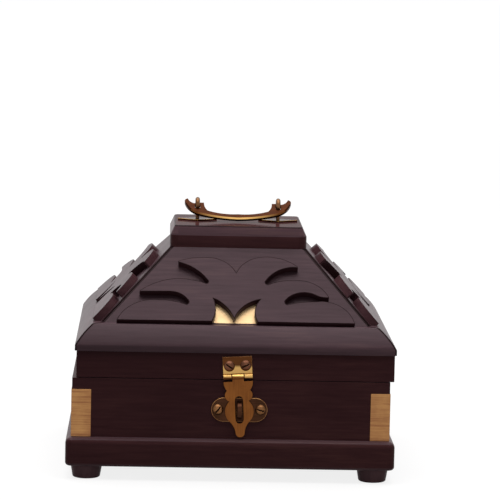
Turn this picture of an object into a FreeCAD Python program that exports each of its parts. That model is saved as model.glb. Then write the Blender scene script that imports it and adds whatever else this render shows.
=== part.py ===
import FreeCAD, Part
import math
import os
import Sketcher

# A small lidded casket in dark lacquered hardwood with brass fittings.
# The box stands on bun feet, and its hipped lid is hinged at the rear.
# A hasp closes over a staple at the front, and a drop handle lies on the lid.
# Millimetres, +Z up, the front faces -Y, the origin is on the floor under the middle of the box.

doc = FreeCAD.newDocument("casket")
V = FreeCAD.Vector
X_AXIS, Y_AXIS, Z_AXIS = V(1, 0, 0), V(0, 1, 0), V(0, 0, 1)

# Driving dimensions, in millimetres and degrees
DIMENSIONS = {
    # Feet and base board
    "foot_height": 6.6,
    "foot_radius": 7.7,
    "foot_toe_radius": 6.7,
    "foot_toe_round": 0.9,
    "foot_inset": 10.1,
    "base_thickness": 13.8,
    "base_side_overhang": 2.85,
    "base_end_overhang": 4.4,
    "base_top_round": 3.0,
    "base_bottom_round": 1.6,
    "base_corner_round": 3.6,
    # Box walls
    "box_width": 152.4,
    "box_depth": 139.7,
    "wall_height": 28.5,
    "wall_thickness": 10.0,
    "corner_lap": 4.0,
    # Lid rails, cornice, roof and cap
    "lid_shift": 1.9,
    "lid_gap": 0.3,
    "rail_height": 12.7,
    "eave_overhang": 0.9,
    "eave_height": 2.8,
    "bevel_run": 8.2,
    "bevel_rise": 9.4,
    "cornice_width": 24.0,
    "ledge_width": 4.85,
    "side_ledge_width": 3.65,
    "roof_run": 30.1,
    "roof_run_left": 32.9,
    "roof_run_right": 30.5,
    "roof_rise": 33.5,
    "roof_thickness": 6.0,
    "cap_straight": 5.8,
    "cap_bevel": 4.7,
    "cap_bevel_angle": 25.0,
    "cap_round": 0.9,
    "cap_corner_round": 4.2,
    # Fretwork leaves and the brass behind them
    "leaf_thickness": 3.7,
    "side_leaf_stretch": 0.94,
    "side_leaf_climb": 1.065,
    "side_leaf_drop": 0.9,
    "inlay_width": 28.0,
    "inlay_height": 14.0,
    "inlay_rise": 0.6,
    "inlay_thickness": 0.6,
    # Corner plates
    "plate_leg": 9.2,
    "plate_height": 23.0,
    "plate_thickness": 0.3,
    # Hinges
    "hinge_spacing": 88.0,
    "hinge_length": 24.0,
    "hinge_leaf": 6.6,
    "hinge_sheet": 0.9,
    "hinge_setback": 3.0,
    "stop_angle": 50.0,
    "barrel_radius": 1.7,
    "barrel_recess": 2.05,
    "hinge_pin_radius": 0.8,
    "centre_knuckle": 7.7,
    "knuckle_gap": 0.3,
    "running_gap": 0.05,
    # Hasp and staple
    "hasp_x": 3.0,
    "hasp_lean": -3.4,
    "staple_x": 4.0,
    "hasp_width": 14.0,
    "hasp_leaf_height": 9.6,
    "hasp_sheet": 0.9,
    "hasp_axis_out": 1.7,
    "hasp_axis_up": 1.7,
    "hasp_barrel_radius": 1.3,
    "hasp_pin_radius": 0.6,
    "hasp_knuckle": 5.6,
    "strap_thickness": 1.0,
    "tongue_length": 3.0,
    "slot_width": 3.7,
    "slot_top": 9.5,
    "slot_bottom": 22.6,
    "staple_plate_length": 27.0,
    "staple_plate_height": 11.7,
    "staple_drop": 16.2,
    "staple_reach": 6.4,
    "staple_height": 8.6,
    "staple_thickness": 2.2,
    "staple_tang": 6.0,
    "staple_eye_radius": 1.6,
    "staple_eye_out": 4.05,
    "staple_screw_spacing": 20.4,
    "hasp_screw_spacing": 7.8,
    # Handle
    "handle_spacing": 40.2,
    "handle_axis_up": 7.7,
    "handle_droop": 37.0,
    "bail_thickness": 1.9,
    "bail_bevel": 0.65,
    "eye_ring_radius": 2.65,
    "eye_wire_radius": 1.15,
    "eye_stem_radius": 0.95,
    "clench_length": 10.0,
    "clench_thickness": 1.0,
    "rose_length": 19.6,
    "rose_width": 11.0,
    "rose_thickness": 0.8,
    # Round-head screws on the front, countersunk screws elsewhere
    "round_head_radius": 2.6,
    "round_head_height": 1.4,
    "round_shank_radius": 1.1,
    "round_shank_length": 8.0,
    "sunk_head_radius": 1.5,
    "sunk_head_height": 0.8,
    "sunk_shank_radius": 0.75,
    "sunk_shank_length": 7.0,
    "wood_head_radius": 3.2,
    "wood_head_height": 2.4,
    "wood_shank_radius": 1.6,
    "foot_screw_length": 16.0,
    "wall_screw_length": 26.0,
    "wall_screw_x": 48.0,
    "slot_depth": 0.6,
    "slot_gap": 0.7,
}

sheet = doc.addObject("Spreadsheet::Sheet", "Dims")
for row, (alias, number) in enumerate(DIMENSIONS.items(), start=1):
    sheet.set(f"A{row}", alias)
    sheet.set(f"B{row}", str(number))
    sheet.setAlias(f"B{row}", alias)
doc.recompute()

# Levels and half sizes that several pieces share, as expressions on the sheet
BASE_BOTTOM = "Dims.foot_height"
BASE_TOP = "(Dims.foot_height + Dims.base_thickness)"
RIM = f"({BASE_TOP} + Dims.wall_height)"
LID_BOTTOM = f"({RIM} + Dims.lid_gap)"
CORNICE_BOTTOM = f"({LID_BOTTOM} + Dims.rail_height)"
EAVE_TOP = f"({CORNICE_BOTTOM} + Dims.eave_height)"
LEDGE = f"({EAVE_TOP} + Dims.bevel_rise)"
ROOF_TOP = f"({LEDGE} + Dims.roof_rise)"
CAP_TOP = f"({ROOF_TOP} + Dims.cap_straight + Dims.cap_bevel)"
HALF_WIDTH = "Dims.box_width / 2"
HALF_DEPTH = "Dims.box_depth / 2"
EAVE_HALF_WIDTH = f"({HALF_WIDTH} + Dims.eave_overhang)"
EAVE_HALF_DEPTH = f"({HALF_DEPTH} + Dims.eave_overhang)"
ROOF_HALF_WIDTH = f"({EAVE_HALF_WIDTH} - Dims.bevel_run - Dims.side_ledge_width)"
ROOF_HALF_DEPTH = f"({EAVE_HALF_DEPTH} - Dims.bevel_run - Dims.ledge_width)"
LID_X = "Dims.lid_shift"
CAP_X = f"({LID_X} + (Dims.roof_run_left - Dims.roof_run_right) / 2)"
HINGE_Y = f"({HALF_DEPTH} - Dims.hinge_setback)"
HINGE_Z = f"({RIM} + Dims.lid_gap / 2)"
HASP_Y = f"(-{HALF_DEPTH} - Dims.hasp_axis_out)"
HASP_Z = f"({LID_BOTTOM} + Dims.hasp_axis_up)"
STAPLE_Z = f"({HASP_Z} - Dims.staple_drop)"
HANDLE_Z = f"({CAP_TOP} + Dims.handle_axis_up)"

# Each side of the box: the plane that its section lies in, and which way is outwards
SIDES = {
    "front": ("YZ_Plane", -1),
    "rear": ("YZ_Plane", 1),
    "left": ("XZ_Plane", -1),
    "right": ("XZ_Plane", 1),
}
ROOF_RUNS = {
    "front": "Dims.roof_run",
    "rear": "Dims.roof_run",
    "left": "Dims.roof_run_left",
    "right": "Dims.roof_run_right",
}
CORNERS = {
    "front_left": (-1, -1),
    "front_right": (1, -1),
    "rear_left": (-1, 1),
    "rear_right": (1, 1),
}
HANDS = {"left": -1, "right": 1}

pieces = []


def value(expression):
    """The number that an expression on the sheet gives."""
    return float(sheet.evalExpression(expression))


def bind(thing, **expressions):
    """Ties properties of an object to the sheet."""
    for name, expression in expressions.items():
        thing.setExpression(name, expression)


def place(thing, x="0", y="0", z="0"):
    """Ties an object's position to the sheet."""
    for axis, expression in zip("xyz", (x, y, z)):
        thing.setExpression(f"Placement.Base.{axis}", expression)
    return thing


def publish(thing, label):
    """Names a finished sub-part and lists it for writing."""
    thing.Label = label
    pieces.append(thing)
    return thing


def block(name, size, corner):
    """A rectangular block from its three sizes and its lowest corner."""
    thing = doc.addObject("Part::Box", name)
    bind(thing, Length=size[0], Width=size[1], Height=size[2])
    return place(thing, *corner)


def rod(name, radius, length, start, axis=Z_AXIS):
    """A round rod of a given length from its start along an axis."""
    thing = doc.addObject("Part::Cylinder", name)
    bind(thing, Radius=radius, Height=length)
    thing.Placement.Rotation = FreeCAD.Rotation(Z_AXIS, axis)
    return place(thing, *start)


def fuse(name, *parts):
    """Several solids joined into one."""
    thing = doc.addObject("Part::MultiFuse", name)
    thing.Shapes = list(parts)
    return thing


def cut(name, base, *tools):
    """A solid with other solids taken away from it."""
    thing = doc.addObject("Part::Cut", name)
    thing.Base = base
    thing.Tool = tools[0] if len(tools) == 1 else group(f"{name}_tools", tools)
    return thing


def group(name, members):
    """Several solids kept apart in one object."""
    thing = doc.addObject("Part::Compound", name)
    thing.Links = list(members)
    return thing


def new_body(name):
    """An empty body."""
    return doc.addObject("PartDesign::Body", name)


def new_sketch(body, name, plane="XY_Plane", lift=None):
    """A sketch on one of a body's own planes, raised along the plane's normal if asked."""
    sketch = body.newObject("Sketcher::SketchObject", name)
    support = next(part for part in body.Origin.OriginFeatures if part.Role == plane)
    sketch.AttachmentSupport = [(support, "")]
    sketch.MapMode = "FlatFace"
    if lift:
        sketch.setExpression("AttachmentOffset.Base.z", lift)
    return sketch


def tie_point(sketch, number, end, expressions, at):
    """Ties one point of a sketch's geometry to the sheet."""
    for kind, expression, distance in zip(("DistanceX", "DistanceY"), expressions, at):
        rule = Sketcher.Constraint(kind, -1, 1, number, end, distance)
        sketch.setExpression(f"Constraints[{sketch.addConstraint(rule)}]", expression)


def arc_through(sketch, start, stop, expressions):
    """Draws an arc through a point tied to the sheet; gives its number and which end is which."""
    through = V(value(expressions[0]), value(expressions[1]), 0)
    number = sketch.addGeometry(Part.Arc(start, through, stop), False)
    point = sketch.addGeometry(Part.Point(through), True)
    tie_point(sketch, point, 1, expressions, through)
    sketch.addConstraint(Sketcher.Constraint("PointOnObject", point, 1, number))
    ends = [sketch.getPoint(number, end).distanceToPoint(start) for end in (1, 2)]
    return (number, 1, 2) if ends[0] < ends[1] else (number, 2, 1)


def outline(sketch, points):
    """Draws a closed outline whose corners are tied to the sheet.

    A corner is (x, y), or (x, y, through_x, through_y) where an arc through that point
    leads to the next corner. Entries are expressions.
    """
    corners = [V(value(point[0]), value(point[1]), 0) for point in points]
    edges = []
    for index, point in enumerate(points):
        start, stop = corners[index], corners[(index + 1) % len(points)]
        if len(point) == 2:
            edges.append((sketch.addGeometry(Part.LineSegment(start, stop), False), 1, 2))
        else:
            edges.append(arc_through(sketch, start, stop, point[2:]))
    for index, (number, start_end, stop_end) in enumerate(edges):
        after, after_end, _ = edges[(index + 1) % len(edges)]
        sketch.addConstraint(Sketcher.Constraint("Coincident", number, stop_end, after, after_end))
        tie_point(sketch, number, start_end, points[index][:2], corners[index])


def both_halves(right, left, middle, stretch="1", climb="1"):
    """A closed outline from its right half, its left half as in a mirror, and the point where they end.

    Each entry of a half is a corner and the point that the arc to the next corner passes
    through, or None for a straight line. Both halves start from the same corner. The outline
    is drawn wider by stretch and higher by climb.
    """
    points = [corner + (through or ()) for corner, through in right]
    last_arc = left[-1][1]
    points.append((middle[0], middle[1], -last_arc[0], last_arc[1]))
    for index in reversed(range(1, len(left))):
        corner, through = left[index][0], left[index - 1][1]
        points.append((-corner[0], corner[1]) + ((-through[0], through[1]) if through else ()))
    if right[0][0][0] > 0:
        points.append((-left[0][0][0], left[0][0][1]))
    factors = (stretch, climb, stretch, climb)
    return [tuple(f"{factor} * ({number})" for factor, number in zip(factors, point)) for point in points]


# A quarter round passes its corner by this share of its radius
CORNER_CUT = 1 - math.sqrt(0.5)


def rounded_rectangle(half_x, half_y, radius):
    """The outline of a rectangle about the origin with quarter rounds at its corners."""
    points = []
    inset = f"{CORNER_CUT} * {radius}"
    for sx, sy in ((1, -1), (1, 1), (-1, 1), (-1, -1)):
        along_x = (f"{sx} * ({half_x} - {radius})", f"{sy} * {half_y}")
        along_y = (f"{sx} * {half_x}", f"{sy} * ({half_y} - {radius})")
        middle = (f"{sx} * ({half_x} - {inset})", f"{sy} * ({half_y} - {inset})")
        first, last = (along_x, along_y) if sx * sy < 0 else (along_y, along_x)
        points += [first + middle, last]
    return points


def circle(sketch, x, y, radius):
    """Draws a circle tied to the sheet."""
    centre = V(value(x), value(y), 0)
    number = sketch.addGeometry(Part.Circle(centre, Z_AXIS, value(radius)), False)
    tie_point(sketch, number, 3, (x, y), centre)
    rule = sketch.addConstraint(Sketcher.Constraint("Radius", number, value(radius)))
    sketch.setExpression(f"Constraints[{rule}]", radius)


def pad(body, sketch, length, centred=False):
    """Extrudes a sketch, to both sides alike if centred."""
    feature = body.newObject("PartDesign::Pad", f"{sketch.Name}_pad")
    feature.Profile = sketch
    feature.SideType = "Symmetric" if centred else "One side"
    bind(feature, Length=length)
    return feature


def pocket_through(body, sketch):
    """Cuts a sketch right through a body, to both sides of its plane."""
    feature = body.newObject("PartDesign::Pocket", f"{sketch.Name}_cut")
    feature.Profile = sketch
    feature.SideType = "Symmetric"
    feature.Type = "ThroughAll"
    return feature


def round_edges(body, feature, radius, wanted):
    """Rounds those edges of a feature whose bounding box passes a test."""
    doc.recompute()
    names = [
        f"Edge{number}" for number, edge in enumerate(feature.Shape.Edges, start=1) if wanted(edge.BoundBox)
    ]
    fillet = body.newObject("PartDesign::Fillet", f"{feature.Name}_round")
    fillet.Base = (feature, names)
    bind(fillet, Radius=radius)
    body.Tip = fillet
    return fillet


def board(name, side, half_depth, half_width, section):
    """A straight board along one side of a rectangle, from its section.

    The section's points are (inset from the outer face, height).
    """
    plane, sign = SIDES[side]
    runs_in_x = plane == "YZ_Plane"
    outer = half_depth if runs_in_x else half_width
    length = half_width if runs_in_x else half_depth
    body = new_body(name)
    sketch = new_sketch(body, f"{name}_section", plane)
    points = []
    for point in section:
        entries = list(point)
        for index in range(0, len(entries), 2):
            entries[index] = f"{sign} * ({outer} - ({entries[index]}))"
        points.append(tuple(entries))
    outline(sketch, points)
    pad(body, sketch, f"2 * ({length})", centred=True)
    return body


# How far a mitre's cut runs on outside the corner, as a share of its run
MITRE_SPARE = 0.05


def mitre(body, side, half_depth, half_width, runs):
    """Cuts both ends of a board on a line from the outer corner inwards.

    The line goes in by one run from the front or rear and by another from the left or right.
    """
    plane, sign = SIDES[side]
    sketch = new_sketch(body, f"{body.Name}_mitre")
    for hand in (-1, 1):
        out = (hand, sign) if plane == "YZ_Plane" else (sign, hand)
        corner = (f"{out[0]} * {half_width}", f"{out[1]} * {half_depth}")
        run = (runs["left" if out[0] < 0 else "right"], runs["front"])
        beyond = tuple(f"{at} + {way} * {MITRE_SPARE} * {far}" for at, way, far in zip(corner, out, run))
        inside = tuple(f"{at} - {way} * {far}" for at, way, far in zip(corner, out, run))
        end = (beyond[0], inside[1]) if plane == "YZ_Plane" else (inside[0], beyond[1])
        outline(sketch, [beyond, inside, end])
    pocket_through(body, sketch)


def revolved_profile(name, points):
    """A sketch of half a turned shape: radius along X, axis along Y."""
    sketch = doc.addObject("Sketcher::SketchObject", f"{name}_profile")
    outline(sketch, points)
    thing = doc.addObject("Part::Revolution", f"{name}_blank")
    thing.Source = sketch
    thing.Axis = Y_AXIS
    thing.Angle = 360
    thing.Solid = True
    return thing


def sunk_screw(name, gauge, length):
    """A countersunk screw whose head is flush with Y = 0 and whose shank runs along +Y."""
    head_radius, shank_radius = f"Dims.{gauge}_head_radius", f"Dims.{gauge}_shank_radius"
    blank = revolved_profile(
        name,
        [
            ("0", "0"),
            (head_radius, "0"),
            (shank_radius, f"Dims.{gauge}_head_height"),
            (shank_radius, length),
            ("0", f"{length} + {shank_radius}"),
        ],
    )
    notch = block(
        f"{name}_notch",
        (f"2 * {head_radius}", "Dims.slot_depth", "Dims.slot_gap"),
        (f"-{head_radius}", "0", "-Dims.slot_gap / 2"),
    )
    return blank, cut(f"{name}_slotted", blank, notch)


def round_screw(name):
    """A screw whose head, a cap of a sphere, stands on Y = 0 and whose shank runs along +Y."""
    radius, height = "Dims.round_head_radius", "Dims.round_head_height"
    slant = f"sqrt({radius} ^ 2 + {height} ^ 2)"
    half_way = (f"{slant} / 2", f"{slant} * ({slant} - {radius}) / (2 * {height}) - {height}")
    blank = revolved_profile(
        name,
        [
            ("0", f"-{height}", *half_way),
            (radius, "0"),
            ("Dims.round_shank_radius", "0"),
            ("Dims.round_shank_radius", "Dims.round_shank_length"),
            ("0", "Dims.round_shank_length + Dims.round_shank_radius"),
        ],
    )
    notch = block(
        f"{name}_notch",
        (f"2 * {radius}", "Dims.slot_depth", "Dims.slot_gap"),
        (f"-{radius}", f"-{height}", "-Dims.slot_gap / 2"),
    )
    return blank, cut(f"{name}_slotted", blank, notch)


def screw_set(label, screw, spots, turns):
    """Sets one kind of screw at several spots; gives the solid that cuts their holes.

    Each spot is an (x, y, z) of expressions; turns is one rotation per spot.
    """
    blank, slotted = screw
    sets = []
    for kind, master in (("hole", blank), ("screw", slotted)):
        links = []
        for index, (spot, turn) in enumerate(zip(spots, turns)):
            link = doc.addObject("App::Link", f"{label}_{kind}_{index}")
            link.LinkedObject = master
            link.LinkTransform = False
            link.Placement.Rotation = turn
            links.append(place(link, *spot))
        sets.append(group(f"{label}_{kind}s", links))
    publish(sets[1], label)
    return sets[0]


def twist(degrees):
    """Turns a front screw about its own axis, as a screwdriver leaves it."""
    return FreeCAD.Rotation(Y_AXIS, degrees)


POINTS_DOWN = FreeCAD.Rotation(X_AXIS, -90)
POINTS_UP = FreeCAD.Rotation(X_AXIS, 90)

# Screw patterns
round_head = round_screw("round_head")
sunk_head = sunk_screw("sunk_head", "sunk", "Dims.sunk_shank_length")
foot_screw = sunk_screw("foot_screw", "wood", "Dims.foot_screw_length")
wall_screw = sunk_screw("wall_screw", "wood", "Dims.wall_screw_length")

# Where the screws stand
FOOT_X = f"({HALF_WIDTH} + Dims.base_side_overhang - Dims.foot_inset)"
FOOT_Y = f"({HALF_DEPTH} + Dims.base_end_overhang - Dims.foot_inset)"
foot_spots = [(f"{sx} * {FOOT_X}", f"{sy} * {FOOT_Y}", "0") for sx, sy in CORNERS.values()]
foot_holes = screw_set("foot_screws", foot_screw, foot_spots, [POINTS_UP] * len(foot_spots))

WALL_MIDDLE_X = f"({HALF_WIDTH} - Dims.wall_thickness / 2)"
WALL_MIDDLE_Y = f"({HALF_DEPTH} - Dims.wall_thickness / 2)"
wall_spots = [
    (f"{sx} * Dims.wall_screw_x", f"{sy} * {WALL_MIDDLE_Y}", BASE_BOTTOM) for sx, sy in CORNERS.values()
]
wall_spots += [(f"{sx} * {WALL_MIDDLE_X}", "0", BASE_BOTTOM) for sx in (-1, 1)]
wall_holes = screw_set("wall_screws", wall_screw, wall_spots, [POINTS_UP] * len(wall_spots))

HINGE_SCREW_Y = f"({HINGE_Y} - 0.62 * Dims.hinge_leaf)"
hinge_spots = [
    (f"{hinge} * Dims.hinge_spacing / 2 + {end} * 0.34 * Dims.hinge_length", HINGE_SCREW_Y)
    for hinge in (-1, 1)
    for end in (-1, 1)
]
box_hinge_spots = [(x, y, RIM) for x, y in hinge_spots]
lid_hinge_spots = [(x, y, LID_BOTTOM) for x, y in hinge_spots]
box_hinge_holes = screw_set("box_hinge_screws", sunk_head, box_hinge_spots, [POINTS_DOWN] * 4)
lid_hinge_holes = screw_set("lid_hinge_screws", sunk_head, lid_hinge_spots, [POINTS_UP] * 4)


def lean(thing):
    """Turns a piece of the hasp about the middle of its pin, as the fitter set it."""
    turn = FreeCAD.Rotation(Y_AXIS, value("Dims.hasp_lean"))
    pivot = V(value("Dims.hasp_x"), 0, value(HASP_Z))
    thing.Placement = FreeCAD.Placement(pivot - turn.multVec(pivot), turn)
    return thing


HASP_SCREW_Z = f"({HASP_Z} + 0.53 * Dims.hasp_leaf_height)"
PLATE_FACE = f"(-{HALF_DEPTH} - Dims.hasp_sheet)"
hasp_holes = screw_set(
    "hasp_leaf_screws",
    round_head,
    [(f"Dims.hasp_x + {hand} * Dims.hasp_screw_spacing / 2", PLATE_FACE, HASP_SCREW_Z) for hand in (-1, 1)],
    [twist(35), twist(-20)],
)
hasp_screws = pieces[-1]
for screws in (hasp_holes, hasp_screws):
    lean(screws)
staple_holes = screw_set(
    "staple_screws",
    round_head,
    [(f"Dims.staple_x + {hand} * Dims.staple_screw_spacing / 2", PLATE_FACE, STAPLE_Z) for hand in (-1, 1)],
    [twist(-50), twist(15)],
)

# Base board: a thick board with rounded edges
base = new_body("base_board_body")
base_sketch = new_sketch(base, "base_outline")
BASE_HALF_X = f"({HALF_WIDTH} + Dims.base_side_overhang)"
BASE_HALF_Y = f"({HALF_DEPTH} + Dims.base_end_overhang)"
outline(
    base_sketch,
    [
        (f"-{BASE_HALF_X}", f"-{BASE_HALF_Y}"),
        (BASE_HALF_X, f"-{BASE_HALF_Y}"),
        (BASE_HALF_X, BASE_HALF_Y),
        (f"-{BASE_HALF_X}", BASE_HALF_Y),
    ],
)
base_pad = pad(base, base_sketch, "Dims.base_thickness")
base_round = round_edges(base, base_pad, "Dims.base_corner_round", lambda box: box.ZLength > 1)
base_round = round_edges(
    base, base_round, "Dims.base_top_round", lambda box: box.ZMin > value("Dims.base_thickness") - 0.01
)
round_edges(base, base_round, "Dims.base_bottom_round", lambda box: box.ZMax < 0.01)
place(base, z=BASE_BOTTOM)
publish(cut("base_board_drilled", base, foot_holes, wall_holes), "base_board")

# Bun feet: short turned drums, a little narrower at the toe
for corner, (sx, sy) in CORNERS.items():
    foot = new_body(f"foot_{corner}_body")
    foot_sketch = new_sketch(foot, f"foot_{corner}_profile", "XZ_Plane")
    toe, toe_round = "Dims.foot_toe_radius", "Dims.foot_toe_round"
    corner_cut = f"{CORNER_CUT} * {toe_round}"
    outline(
        foot_sketch,
        [
            ("0", "0"),
            (f"{toe} - {toe_round}", "0", f"{toe} - {corner_cut}", corner_cut),
            (toe, toe_round),
            ("Dims.foot_radius", "Dims.foot_height"),
            ("0", "Dims.foot_height"),
        ],
    )
    turning = foot.newObject("PartDesign::Revolution", f"foot_{corner}_turning")
    turning.Profile = foot_sketch
    turning.ReferenceAxis = (foot_sketch, ["V_Axis"])
    turning.Angle = 360
    place(foot, f"{sx} * {FOOT_X}", f"{sy} * {FOOT_Y}")
    publish(cut(f"foot_{corner}_drilled", foot, foot_holes), f"foot_{corner}")

# Hinge mortises: room for a leaf and for the barrel
def hinge_mortises(name, leaf_bottom):
    """The solids that let both hinges into a wall or rail."""
    tools = []
    for hand, sign in HANDS.items():
        middle = f"{sign} * Dims.hinge_spacing / 2"
        start = f"{middle} - Dims.hinge_length / 2"
        tools.append(
            block(
                f"{name}_{hand}_leaf_room",
                ("Dims.hinge_length", "Dims.hinge_leaf", "Dims.hinge_sheet"),
                (start, f"{HINGE_Y} - Dims.hinge_leaf", leaf_bottom),
            )
        )
        tools.append(
            rod(
                f"{name}_{hand}_barrel_room",
                "Dims.barrel_recess",
                "Dims.hinge_length + 2 * Dims.knuckle_gap",
                (f"{start} - Dims.knuckle_gap", HINGE_Y, HINGE_Z),
                X_AXIS,
            )
        )
    return tools


STOP_DROP = "(Dims.hinge_setback * tan(Dims.stop_angle))"


def wall_section(bottom, top, side):
    """A wall's section; at the rear, the edge along the hinges is bevelled as the lid's stop."""
    inner, setback = "Dims.wall_thickness", "Dims.hinge_setback"
    inside = [(inner, top), (inner, bottom)]
    if side == "rear" and bottom == BASE_TOP:
        return [("0", bottom), ("0", f"{top} - {STOP_DROP}"), (setback, top)] + inside
    if side == "rear":
        return [(setback, bottom), ("0", f"{bottom} + {STOP_DROP}"), ("0", top)] + inside
    return [("0", bottom), ("0", top)] + inside


def wall_ring(label, bottom, top, shift, tools):
    """Four walls, with the side walls lapped into the ends of the front and rear walls."""
    thick = "Dims.wall_thickness"
    for side, (plane, sign) in SIDES.items():
        name = label.format(side)
        long_wall = plane == "YZ_Plane"
        half_depth = HALF_DEPTH if long_wall else f"({HALF_DEPTH} - Dims.corner_lap)"
        wall = board(f"{name}_body", side, half_depth, HALF_WIDTH, wall_section(bottom, top, side))
        place(wall, x=shift)
        cuts = list(tools.get(side, []))
        if long_wall:
            near = f"{sign} * {HALF_DEPTH} - ({sign} + 1) / 2 * {thick}"
            lap_start = f"{near} + (1 - {sign}) / 2 * Dims.corner_lap"
            for hand in (-1, 1):
                end = f"{shift} + {hand} * {HALF_WIDTH} - ({hand} + 1) / 2 * {thick}"
                cuts.append(
                    block(
                        f"{name}_lap_{'left' if hand < 0 else 'right'}",
                        (thick, f"{thick} - Dims.corner_lap", f"{top} - {bottom}"),
                        (end, lap_start, bottom),
                    )
                )
        publish(cut(f"{name}_cut", wall, *cuts) if cuts else wall, name)


# Staple: a brass lug through a plate, with an eye along X for a padlock's shackle
staple = new_body("staple_body")
staple_sketch = new_sketch(staple, "staple_section", "YZ_Plane")
NOSE = "(Dims.staple_reach - Dims.staple_height / 2)"
outline(
    staple_sketch,
    [
        ("Dims.staple_tang", "-Dims.staple_height / 4"),
        ("Dims.staple_tang", "Dims.staple_height / 4"),
        ("-Dims.hasp_sheet", "Dims.staple_height / 4"),
        ("-Dims.hasp_sheet", "Dims.staple_height / 2"),
        (f"-{NOSE}", "Dims.staple_height / 2", "-Dims.staple_reach", "0"),
        (f"-{NOSE}", "-Dims.staple_height / 2"),
        ("-Dims.hasp_sheet", "-Dims.staple_height / 2"),
        ("-Dims.hasp_sheet", "-Dims.staple_height / 4"),
    ],
)
circle(staple_sketch, "-Dims.staple_eye_out", "0", "Dims.staple_eye_radius")
pad(staple, staple_sketch, "Dims.staple_thickness", centred=True)
place(staple, "Dims.staple_x", f"-{HALF_DEPTH}", STAPLE_Z)
publish(staple, "staple")

staple_plate = new_body("staple_plate_body")
plate_sketch = new_sketch(staple_plate, "staple_plate_outline", "XZ_Plane")
FLAT = "(Dims.staple_plate_length - Dims.staple_plate_height) / 2"
outline(
    plate_sketch,
    [
        (f"-{FLAT}", "-Dims.staple_plate_height / 2"),
        (FLAT, "-Dims.staple_plate_height / 2", "Dims.staple_plate_length / 2", "0"),
        (FLAT, "Dims.staple_plate_height / 2"),
        (f"-{FLAT}", "Dims.staple_plate_height / 2", "-Dims.staple_plate_length / 2", "0"),
    ],
)
pad(staple_plate, plate_sketch, "Dims.hasp_sheet")
place(staple_plate, "Dims.staple_x", f"-{HALF_DEPTH}", STAPLE_Z)
publish(cut("staple_plate_pierced", staple_plate, staple, staple_holes), "staple_plate")

# Box walls and lid rails
box_mortises = hinge_mortises("box_mortise", f"{RIM} - Dims.hinge_sheet")
lid_mortises = hinge_mortises("lid_mortise", LID_BOTTOM)
wall_ring(
    "{}_wall",
    BASE_TOP,
    RIM,
    "0",
    {
        "front": [wall_holes, staple, staple_holes],
        "rear": [wall_holes, box_hinge_holes, *box_mortises],
        "left": [wall_holes],
        "right": [wall_holes],
    },
)
wall_ring(
    "lid_{}_rail",
    LID_BOTTOM,
    CORNICE_BOTTOM,
    LID_X,
    {"front": [hasp_holes], "rear": [lid_hinge_holes, *lid_mortises]},
)

# Corner plates: brass angles on the lower corners of the box
for corner, (sx, sy) in CORNERS.items():
    angle_plate = new_body(f"corner_plate_{corner}_body")
    angle_sketch = new_sketch(angle_plate, f"corner_plate_{corner}_section")
    outer_x = f"{sx} * ({HALF_WIDTH} + Dims.plate_thickness)"
    outer_y = f"{sy} * ({HALF_DEPTH} + Dims.plate_thickness)"
    inner_x, inner_y = f"{sx} * {HALF_WIDTH}", f"{sy} * {HALF_DEPTH}"
    leg_x = f"{sx} * ({HALF_WIDTH} - Dims.plate_leg)"
    leg_y = f"{sy} * ({HALF_DEPTH} - Dims.plate_leg)"
    outer_leg = [(outer_x, outer_y), (leg_x, outer_y), (leg_x, inner_y)]
    outline(angle_sketch, outer_leg + [(inner_x, inner_y), (inner_x, leg_y), (outer_x, leg_y)])
    pad(angle_plate, angle_sketch, "Dims.plate_height")
    place(angle_plate, z=BASE_TOP)
    publish(angle_plate, f"corner_plate_{corner}")

# Cornice: four mitred mouldings with a level edge, a swelling bevel and a flat ledge
SWELL = 0.4
BEVEL_MIDDLE = (f"0.5 * Dims.bevel_run - {SWELL}", f"{EAVE_TOP} + 0.5 * Dims.bevel_rise + {SWELL}")
for side in SIDES:
    moulding = board(
        f"cornice_{side}_body",
        side,
        EAVE_HALF_DEPTH,
        EAVE_HALF_WIDTH,
        [
            ("0", CORNICE_BOTTOM),
            ("0", EAVE_TOP, *BEVEL_MIDDLE),
            ("Dims.bevel_run", LEDGE),
            ("Dims.cornice_width", LEDGE),
            ("Dims.cornice_width", CORNICE_BOTTOM),
        ],
    )
    mitre(moulding, side, EAVE_HALF_DEPTH, EAVE_HALF_WIDTH, dict.fromkeys(SIDES, "2 * Dims.cornice_width"))
    place(moulding, x=LID_X)
    publish(moulding, f"cornice_{side}")


# Roof slopes: how a slope's own frame lies, with X along the eave and Y up the slope
SLOPE_TURN = {"front": 0, "right": 90, "rear": 180, "left": 270}


def slope_placement(side):
    """The frame of one roof slope, with its origin at the middle of the slope's foot."""
    turn = FreeCAD.Rotation(Z_AXIS, SLOPE_TURN[side])
    reach = value(ROOF_HALF_DEPTH if side in ("front", "rear") else ROOF_HALF_WIDTH)
    foot = turn.multVec(V(0, -reach, 0)) + V(value(LID_X), 0, value(LEDGE))
    pitch = math.degrees(math.atan2(value("Dims.roof_rise"), value(ROOF_RUNS[side])))
    tilt = turn.multiply(FreeCAD.Rotation(X_AXIS, pitch))
    return FreeCAD.Placement(foot, tilt)


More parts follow.
